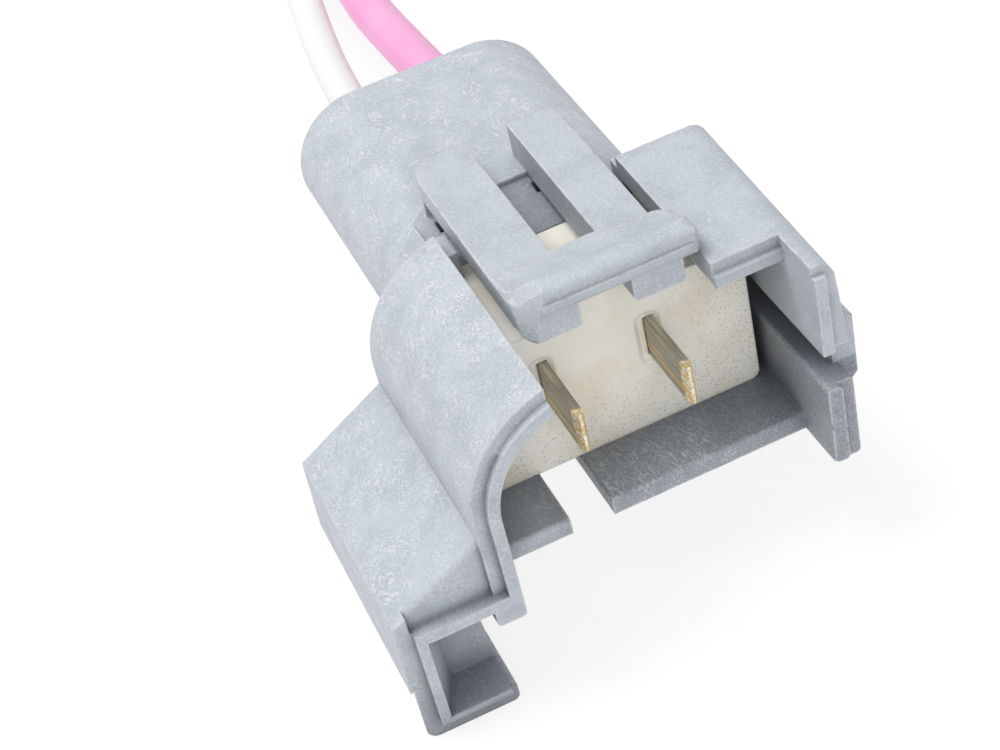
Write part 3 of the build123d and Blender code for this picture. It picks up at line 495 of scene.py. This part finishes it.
@dataclass(frozen=True)
class NaturalPolyamide:
    """Unfilled natural polyamide: an off-white moulding with tiny dull pits.

    The pits gather towards the lower right of the front face, the face has
    faint yellow and grey clouds, and yellow-brown painted shade darkens the
    recesses round the blades.
    so they are drawn coarser.
    """

    name: str = Finish.CARRIER.value
    body: str = "fffcf2"
    warm: str = "efe4c8"
    pit: str = "a09d94"
    # Painted shade in the recesses round the blades
    recess_shade: str = "8a7448"
    roughness: float = 0.45
    clouds_mm: float = 4.0
    clouds: Ramp = Ramp(0.42, 0.7, 0.0, 0.5)
    pit_mm: float = 0.21
    pit_scatter: float = 0.8
    pits: Ramp = Ramp(0.14, 0.42, 0.55, 0.0)
    low_z: Ramp = Ramp(-6.0, 1.0, 1.0, 0.0)
    right_x: Ramp = Ramp(1.0, 9.5)
    recess_mm: float = 1.2
    recess_shade_share: Ramp = Ramp(0.15, 0.7, 0.4, 0.0)
    edge_mm: float = 0.2
    bump: float = 0.4
    bump_mm: float = 0.02

    def build(self) -> bpy.types.Material:
        """Make the material.

        Returns:
            The material.
        """
        material = blank_material(self.name)
        add = partial(add_node, material)
        where, (x, _, z) = position_mm(material)
        tone = add("TexNoise", {"Vector": where, "Scale": 1 / self.clouds_mm, "Detail": 3.0})
        clouds = add("MapRange", self.clouds.of(tone.outputs[0]), **SOFT).outputs["Result"]
        cells = add(
            "TexVoronoi",
            {"Vector": where, "Scale": 1 / self.pit_mm, "Randomness": self.pit_scatter},
        )
        pits = add("MapRange", self.pits.of(cells.outputs["Distance"]), **SOFT).outputs["Result"]
        low = add("MapRange", self.low_z.of(z), **SOFT).outputs["Result"]
        right = add("MapRange", self.right_x.of(x), **SOFT).outputs["Result"]
        dense = add("Math", {0: low, 1: right}, operation="MAXIMUM").outputs[0]
        pits = add("Math", {0: pits, 1: dense}, operation="MULTIPLY").outputs[0]
        # Painted shade in the recesses round the blades
        air = add("AmbientOcclusion", {"Distance": self.recess_mm * MM}, samples=PROBES)
        recess_shade_share = add("MapRange", self.recess_shade_share.of(air.outputs["AO"]), **SOFT).outputs["Result"]

        colour: Socket | str = self.body
        for share, over in ((clouds, self.warm), (pits, self.pit), (recess_shade_share, self.recess_shade)):
            colours = {0: share, MIX_UNDER: colour, MIX_OVER: over}
            colour = add("Mix", colours, data_type="RGBA").outputs[MIX_RESULT]
        rounded = add("Bevel", {"Radius": self.edge_mm * MM}, samples=PROBES)
        relief = add(
            "Bump",
            {
                "Strength": self.bump,
                "Distance": self.bump_mm * MM,
                "Height": pits,
                "Normal": rounded.outputs["Normal"],
            },
            invert=True,
        )
        shader = add(
            "BsdfPrincipled",
            {
                "Base Color": colour,
                "Roughness": self.roughness,
                "Normal": relief.outputs["Normal"],
            },
        )
        add("OutputMaterial", {"Surface": shader.outputs["BSDF"]})
        return material


@dataclass(frozen=True)
class TinPlatedBrass:
    """Stamped brass under dull tin: grey-brown sides drawn with fine streaks.

    Gold-coloured brass shows along the fold of the sheet and at the tip, where
    specks of painted highlight lie on it. The rolling marks of real sheet are
    too fine to show, so the streaks are drawn wider.
    """

    name: str = Finish.TERMINAL.value
    tin: str = "c4bca8"
    streak: str = "9c9482"
    brass: str = "e6c684"
    # Specks of painted highlight at the tip
    tip_highlight: str = "fbf4e2"
    metallic: float = 0.4
    roughness: float = 0.42
    streak_mm: tuple[float, float] = (0.09, 2.5)
    streak_scale: float = 0.6
    streaks: Ramp = Ramp(0.4, 0.65)
    fold_from_z: Ramp = Ramp(-0.83, -0.68)
    fold_to_z: Ramp = Ramp(-0.41, -0.31, 1.0, 0.0)
    ragged_mm: float = 0.5
    ragged_reach_mm: float = 1.1
    tip_y: Ramp = Ramp(-4.15, -3.95, 1.0, 0.0)
    front_y: Ramp = Ramp(0.0, 0.3, 1.0, 0.0)
    tip_highlight_mm: float = 0.22
    tip_highlight_share: Ramp = Ramp(0.42, 0.62)
    bump: float = 0.5
    bump_mm: float = 0.02

    def gold(
        self, material: bpy.types.Material, where: Socket, y: Socket, z: Socket
    ) -> tuple[Socket, Socket]:
        """Find the bare brass along the fold and at the ragged tip.

        Args:
            material: Material that takes the nodes.
            where: Coordinates in millimetres.
            y: Their y.
            z: Their z.

        Returns:
            Share of brass from 0 to 1, and the brass's colour with specks of painted highlight at
            the tip.
        """
        add = partial(add_node, material)
        above = add("MapRange", self.fold_from_z.of(z), **SOFT).outputs["Result"]
        below = add("MapRange", self.fold_to_z.of(z), **SOFT).outputs["Result"]
        fold = add("Math", {0: above, 1: below}, operation="MULTIPLY").outputs[0]
        drift = add("TexNoise", {"Vector": where, "Scale": 1 / self.ragged_mm, "Detail": 2.0})
        ragged = add(
            "Math",
            {0: drift.outputs[0], 1: self.ragged_reach_mm, 2: y},
            operation="MULTIPLY_ADD",
        )
        tip = add("MapRange", self.tip_y.of(ragged.outputs[0]), **SOFT).outputs["Result"]
        front = add("MapRange", self.front_y.of(y), **SOFT).outputs["Result"]
        gold = add("Math", {0: fold, 1: tip}, operation="MAXIMUM").outputs[0]
        gold = add("Math", {0: gold, 1: front}, operation="MULTIPLY").outputs[0]
        # Specks of painted highlight at the tip
        specks = add("TexNoise", {"Vector": where, "Scale": 1 / self.tip_highlight_mm, "Detail": 2.0})
        tip_highlight_share = add("MapRange", self.tip_highlight_share.of(specks.outputs[0]), **SOFT).outputs["Result"]
        tip_highlight_share = add("Math", {0: tip_highlight_share, 1: tip}, operation="MULTIPLY").outputs[0]
        colours = {0: tip_highlight_share, MIX_UNDER: self.brass, MIX_OVER: self.tip_highlight}
        return gold, add("Mix", colours, data_type="RGBA").outputs[MIX_RESULT]

    def build(self) -> bpy.types.Material:
        """Make the material.

        Returns:
            The material.
        """
        material = blank_material(self.name)
        add = partial(add_node, material)
        where, (_, y, z) = position_mm(material)
        across, along = self.streak_mm
        stretched = add(
            "VectorMath",
            {0: where, 1: (1 / across, 1 / along, 1 / across)},
            operation="MULTIPLY",
        )
        grain = add(
            "TexNoise",
            {
                "Vector": stretched.outputs["Vector"],
                "Scale": self.streak_scale,
                "Detail": 3.0,
            },
        ).outputs[0]
        drawn = add("MapRange", self.streaks.of(grain), **SOFT).outputs["Result"]
        colours = {0: drawn, MIX_UNDER: self.streak, MIX_OVER: self.tin}
        sides = add("Mix", colours, data_type="RGBA").outputs[MIX_RESULT]
        gold, brass = self.gold(material, where, y, z)
        colours = {0: gold, MIX_UNDER: sides, MIX_OVER: brass}
        relief = add(
            "Bump", {"Strength": self.bump, "Distance": self.bump_mm * MM, "Height": grain}
        )
        shader = add(
            "BsdfPrincipled",
            {
                "Base Color": add("Mix", colours, data_type="RGBA").outputs[MIX_RESULT],
                "Metallic": self.metallic,
                "Roughness": self.roughness,
                "Normal": relief.outputs["Normal"],
            },
        )
        add("OutputMaterial", {"Surface": shader.outputs["BSDF"]})
        return material


@dataclass(frozen=True)
class SatinPlastic:
    """Smooth plastic, rubber or drawn wire with faint cloudy tone."""

    name: str
    colour: str
    second: str
    roughness: float
    clouds_mm: float
    metallic: float = 0.0
    clouds: Ramp = Ramp(0.35, 0.7)
    grains_per_cloud: float = 8.0
    bump: float = 0.15
    bump_mm: float = 0.01

    def build(self) -> bpy.types.Material:
        """Make the material.

        Returns:
            The material.
        """
        material = blank_material(self.name)
        add = partial(add_node, material)
        where, _ = position_mm(material)
        scale = 1 / self.clouds_mm
        tone = add("TexNoise", {"Vector": where, "Scale": scale, "Detail": 3.0})
        clouds = add("MapRange", self.clouds.of(tone.outputs[0]), **SOFT).outputs["Result"]
        colours = {0: clouds, MIX_UNDER: self.colour, MIX_OVER: self.second}
        fine = {"Vector": where, "Scale": scale * self.grains_per_cloud, "Detail": 2.0}
        relief = add(
            "Bump",
            {
                "Strength": self.bump,
                "Distance": self.bump_mm * MM,
                "Height": add("TexNoise", fine).outputs[0],
            },
        )
        shader = add(
            "BsdfPrincipled",
            {
                "Base Color": add("Mix", colours, data_type="RGBA").outputs[MIX_RESULT],
                "Metallic": self.metallic,
                "Roughness": self.roughness,
                "Normal": relief.outputs["Normal"],
            },
        )
        add("OutputMaterial", {"Surface": shader.outputs["BSDF"]})
        return material


@dataclass
class Finishes:
    """Builds each finish once and hands it out."""

    made: dict[Finish, bpy.types.Material] = field(default_factory=dict)

    def get(self, finish: Finish) -> bpy.types.Material:
        """Give the material of a finish, built at its first use.

        Args:
            finish: Finish to look up.

        Returns:
            The material.
        """
        if finish not in self.made:
            self.made[finish] = self.recipe(finish).build()
        return self.made[finish]

    def recipe(
        self, finish: Finish
    ) -> GlassFilledPlastic | NaturalPolyamide | TinPlatedBrass | SatinPlastic:
        """Give the recipe of a finish.

        Args:
            finish: Finish to look up.

        Returns:
            The recipe, ready to build.
        """
        recipes = {
            Finish.HOUSING: GlassFilledPlastic(),
            Finish.CARRIER: NaturalPolyamide(),
            Finish.TERMINAL: TinPlatedBrass(),
            # Silicone seal: dull and rubbery, deep in the barrel
            Finish.SEAL: SatinPlastic(
                Finish.SEAL.value, "5b6168", "666c73", roughness=0.6, clouds_mm=2.0
            ),
            # Extruded insulation: even colour with a soft shine
            Finish.WHITE_JACKET: SatinPlastic(
                Finish.WHITE_JACKET.value, "fbfbfb", "f8f8f8", roughness=0.42, clouds_mm=6.0
            ),
            Finish.PINK_JACKET: SatinPlastic(
                Finish.PINK_JACKET.value, "ffb9e5", "ffafdf", roughness=0.42, clouds_mm=6.0
            ),
            # Drawn copper wires: warm metal, finely ridged by its strands
            Finish.STRANDS: SatinPlastic(
                Finish.STRANDS.value,
                "c07a48",
                "a8653a",
                roughness=0.32,
                clouds_mm=0.4,
                metallic=1.0,
            ),
            # Polyamide tie: black with a slight shine
            Finish.BAND: SatinPlastic(
                Finish.BAND.value, "222224", "2a2a2c", roughness=0.4, clouds_mm=1.5
            ),
        }
        return recipes[finish]


@dataclass(frozen=True)
class Lamp:
    """Round soft lamp that looks at the origin.

    Its power gives a white surface that faces it the given level:
    power = level x (pi x distance) squared.
    """

    name: str
    towards: Point
    size_m: float
    level: float
    distance_m: float = 0.5

    def place(self) -> None:
        """Add the lamp to the scene."""
        data = bpy.data.lights.new(self.name, "AREA")
        data.shape = "DISK"
        data.size = self.size_m
        data.energy = self.level * (math.pi * self.distance_m) ** 2
        lamp = bpy.data.objects.new(self.name, data)
        towards = np.array(self.towards) / np.linalg.norm(self.towards)
        side = np.cross((0.0, 1.0, 0.0), towards)
        side /= np.linalg.norm(side)
        matrix = np.eye(4)
        matrix[:3, 0] = side
        matrix[:3, 1] = np.cross(towards, side)
        matrix[:3, 2] = towards
        matrix[:3, 3] = towards * self.distance_m
        lamp.matrix_world = Matrix(matrix.tolist())
        bpy.context.scene.collection.objects.link(lamp)


@dataclass
class Studio:
    """Camera, lamps, floor and backdrop."""

    focal_mm: float = 75.65
    sensor_mm: float = 36.0
    clip_m: tuple[float, float] = (0.005, 20.0)
    eye_mm: Point = (-27.794, -89.267, 80.971)
    right: Point = (0.9024, -0.3864, -0.1908)
    down: Point = (-0.3926, -0.5548, -0.7335)
    forward: Point = (0.1775, 0.7368, -0.6524)
    ambient: float = 0.38
    backdrop: float = 1.0
    floor_m: float = -0.01545
    floor_reach_m: float = 1.5
    paper: float = 0.92
    glow: float = 1.12
    glow_share: float = 0.72
    key: Lamp = Lamp("key", (-0.3, 0.16, 0.93), size_m=0.3, level=0.6)
    fill: Lamp = Lamp("fill", (-0.15, -0.8, 0.55), size_m=0.4, level=0.27)

    def camera(self) -> None:
        """Place the camera where the photograph was taken from."""
        data = bpy.data.cameras.new("camera")
        data.lens = self.focal_mm
        data.sensor_width = self.sensor_mm
        data.clip_start, data.clip_end = self.clip_m
        camera = bpy.data.objects.new("camera", data)
        columns = np.array([self.right, np.negative(self.down), np.negative(self.forward)]).T
        # The fitted axes are square to each other only within their rounding
        turn, _ = np.linalg.qr(columns)
        turn = turn * np.sign(np.sum(turn * columns, axis=0))
        matrix = np.eye(4)
        matrix[:3, :3] = turn
        matrix[:3, 3] = np.array(self.eye_mm) * MM
        camera.matrix_world = Matrix(matrix.tolist())
        bpy.context.scene.collection.objects.link(camera)
        bpy.context.scene.camera = camera

    def seen_ray(self, owner: Owner) -> Socket:
        """Tell the rays that are seen directly, mirrored or let through.

        Args:
            owner: Material or world that takes the nodes.

        Returns:
            1 for such a ray, else 0.
        """
        add = partial(add_node, owner)
        path = add("LightPath").outputs
        mirrored = {0: path["Is Camera Ray"], 1: path["Is Glossy Ray"]}
        direct = add("Math", mirrored, operation="MAXIMUM").outputs[0]
        through = {0: direct, 1: path["Is Transmission Ray"]}
        return add("Math", through, operation="MAXIMUM").outputs[0]

    def sky(self) -> None:
        """Surround the object with an even soft light that looks white."""
        world = bpy.data.worlds.new("world")
        world.use_nodes = True
        world.node_tree.nodes.clear()
        add = partial(add_node, world)
        soft = add("Background", {"Color": "ffffff", "Strength": self.ambient})
        seen = add("Background", {"Color": "ffffff", "Strength": self.backdrop})
        mixed = add(
            "MixShader",
            {
                0: self.seen_ray(world),
                1: soft.outputs["Background"],
                2: seen.outputs["Background"],
            },
        )
        add("OutputWorld", {"Surface": mixed.outputs["Shader"]})
        bpy.context.scene.world = world

    def floor(self) -> None:
        """Lay the pale floor at the level the pocket stands on."""
        side = self.floor_reach_m
        mesh = bpy.data.meshes.new("floor")
        corners = [(-side, -side), (side, -side), (side, side), (-side, side)]
        mesh.from_pydata([(x, y, self.floor_m) for x, y in corners], [], [(0, 1, 2, 3)])
        floor = bpy.data.objects.new("floor", mesh)
        bpy.context.scene.collection.objects.link(floor)
        material = blank_material("floor_paper")
        add = partial(add_node, material)
        paper = add("BsdfDiffuse", {"Color": (self.paper, self.paper, self.paper, 1.0)})
        glow = add("Emission", {"Color": "ffffff", "Strength": self.glow})
        weighed = {0: self.seen_ray(material), 1: self.glow_share}
        share = add("Math", weighed, operation="MULTIPLY").outputs[0]
        both = add(
            "MixShader", {0: share, 1: paper.outputs["BSDF"], 2: glow.outputs["Emission"]}
        )
        add("OutputMaterial", {"Surface": both.outputs["Shader"]})
        mesh.materials.append(material)
        floor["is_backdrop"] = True

    def build(self) -> None:
        """Set the whole stage."""
        bpy.context.scene.view_settings.view_transform = "Standard"
        self.camera()
        self.sky()
        for lamp in (self.key, self.fill):
            lamp.place()
        self.floor()


@dataclass
class Coil:
    """Put-away turns of one lead: one flat turn, then a turn on top of it."""

    centre_mm: tuple[float, float] = (20.5, 105.0)
    base_mm: float = -15.0
    rise_mm: float = 3.4
    rise_from_deg: float = 235.0
    rise_to_deg: float = 308.0
    steps_per_turn: int = 24

    def points(self, radius: float, jacket: float, total_arc: float) -> list[Point]:
        """Work out the turns, clockwise from the leftmost point.

        The angle runs evenly to the total arc; the height eases from the lower
        level to the upper one between the two rise angles.

        Args:
            radius: Radius of the turns in millimetres.
            jacket: Diameter of the lead in millimetres.
            total_arc: Angle of all the turns in degrees.

        Returns:
            Control points in millimetres.
        """
        count = int(round(total_arc / 360.0 * self.steps_per_turn)) + 1
        angle = np.linspace(0.0, total_arc, count)[1:]
        span = self.rise_to_deg - self.rise_from_deg
        share = np.clip((angle - self.rise_from_deg) / span, 0.0, 1.0)
        ease = share * share * (3.0 - 2.0 * share)
        turn = np.radians(angle)
        x = self.centre_mm[0] - radius * np.cos(turn)
        y = self.centre_mm[1] + radius * np.sin(turn)
        z = self.base_mm + jacket / 2 + self.rise_mm * ease
        return list(zip(x.tolist(), y.tolist(), z.tolist()))


@dataclass
class Leads:
    """The two insulated leads, from their crimps to their stripped ends."""

    finishes: Finishes
    white_od: float = 2.6
    pink_od: float = 3.2
    white_radius: float = 18.2
    pink_radius: float = 15.0
    white_arc: float = 400.0
    pink_arc: float = 486.0
    exit_y: float = 29.4
    around_steps: int = 8
    along_steps: int = 10
    curve_order: int = 3
    # The curve cuts the corners of its control points, so it is this much shorter
    curve_share: float = 0.995

    def routes(self) -> dict[str, list[Point]]:
        """Work out the way of each lead up to its coil.

        Returns:
            Control points in millimetres by the lead's name.
        """
        base = Coil.base_mm
        centre = Coil.centre_mm
        white_x = centre[0] - self.white_radius
        pink_x = centre[0] - self.pink_radius
        return {
            "lead_white": [
                (-3.65, 13.6, 0.0),
                (-3.65, 26.0, 0.0),
                (-3.35, 38.5, 0.0),
                (-1.5, 51.0, -0.45),
                (1.2, 65.0, -4.5),
                (1.9, 78.0, -10.4),
                (white_x - 0.2, 87.5, base + self.white_od / 2),
                (white_x, 96.5, base + self.white_od / 2),
                (white_x, centre[1], base + self.white_od / 2),
            ],
            "lead_pink": [
                (3.25, 13.6, 0.0),
                (3.25, 25.2, 0.0),
                (2.6, 37.0, 0.0),
                (2.4, 49.5, -1.0),
                (4.7, 63.5, -3.7),
                (5.2, 76.5, -10.0),
                (pink_x - 0.2, 87.0, base + self.pink_od / 2),
                (pink_x, 96.5, base + self.pink_od / 2),
                (pink_x, centre[1], base + self.pink_od / 2),
            ],
        }

    def lead(
        self,
        name: str,
        diameter: float,
        radius: float,
        arc: float,
        finish: Finish,
        solids: tuple[str, ...],
    ) -> None:
        """Make one lead as a smooth curve over its route and its coil.

        Args:
            name: Piece name.
            diameter: Outer diameter in millimetres.
            radius: Radius of its coil in millimetres.
            arc: Angle of its coil in degrees.
            finish: Finish of the insulation.
            solids: CAD nodes that the curve stands for.
        """
        points = self.routes()[name] + Coil().points(radius, diameter, arc)
        curve = bpy.data.curves.new(name, "CURVE")
        curve.dimensions = "3D"
        curve.bevel_depth = diameter / 2 * MM
        curve.bevel_resolution = self.around_steps
        curve.resolution_u = self.along_steps
        curve.use_fill_caps = True
        spline = curve.splines.new("NURBS")
        spline.points.add(len(points) - 1)
        weighted = np.ones((len(points), 4))
        weighted[:, :3] = np.array(points) * MM
        spline.points.foreach_set("co", weighted.ravel())
        spline.order_u = self.curve_order
        spline.use_endpoint_u = True
        piece = bpy.data.objects.new(name + "_jacket", curve)
        bpy.context.scene.collection.objects.link(piece)
        curve.materials.append(self.finishes.get(finish))
        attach(piece, ROOT)
        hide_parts(*solids)

    def build(self) -> None:
        """Make both leads."""
        self.lead(
            "lead_white",
            self.white_od,
            self.white_radius,
            self.white_arc,
            Finish.WHITE_JACKET,
            ("lead_white", "coil_white"),
        )
        self.lead(
            "lead_pink",
            self.pink_od,
            self.pink_radius,
            self.pink_arc,
            Finish.PINK_JACKET,
            ("lead_pink", "coil_pink"),
        )


@dataclass
class Plug:
    """Solids of the CAD model that keep their shape: plug, strands and band."""

    finishes: Finishes
    looks: tuple[tuple[str, Finish], ...] = (
        ("housing", Finish.HOUSING),
        ("terminal_carrier", Finish.CARRIER),
        ("terminal_left", Finish.TERMINAL),
        ("terminal_right", Finish.TERMINAL),
        ("seal_left", Finish.SEAL),
        ("seal_right", Finish.SEAL),
        ("strands_white", Finish.STRANDS),
        ("strands_pink", Finish.STRANDS),
        ("coil_band", Finish.BAND),
    )

    def dress(self) -> None:
        """Give each solid its finish."""
        for node, finish in self.looks:
            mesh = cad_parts[node].data
            mesh.materials.clear()
            mesh.materials.append(self.finishes.get(finish))


def main() -> None:
    """Build the scene and report it."""
    logging.basicConfig(level=logging.INFO, format="%(message)s")
    finishes = Finishes()
    Studio().build()
    Plug(finishes).dress()
    Leads(finishes).build()
    bpy.context.view_layer.update()
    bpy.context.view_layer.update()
    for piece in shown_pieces():
        log.info("piece: %s", piece.name)


if __name__ == "__main__":
    main()
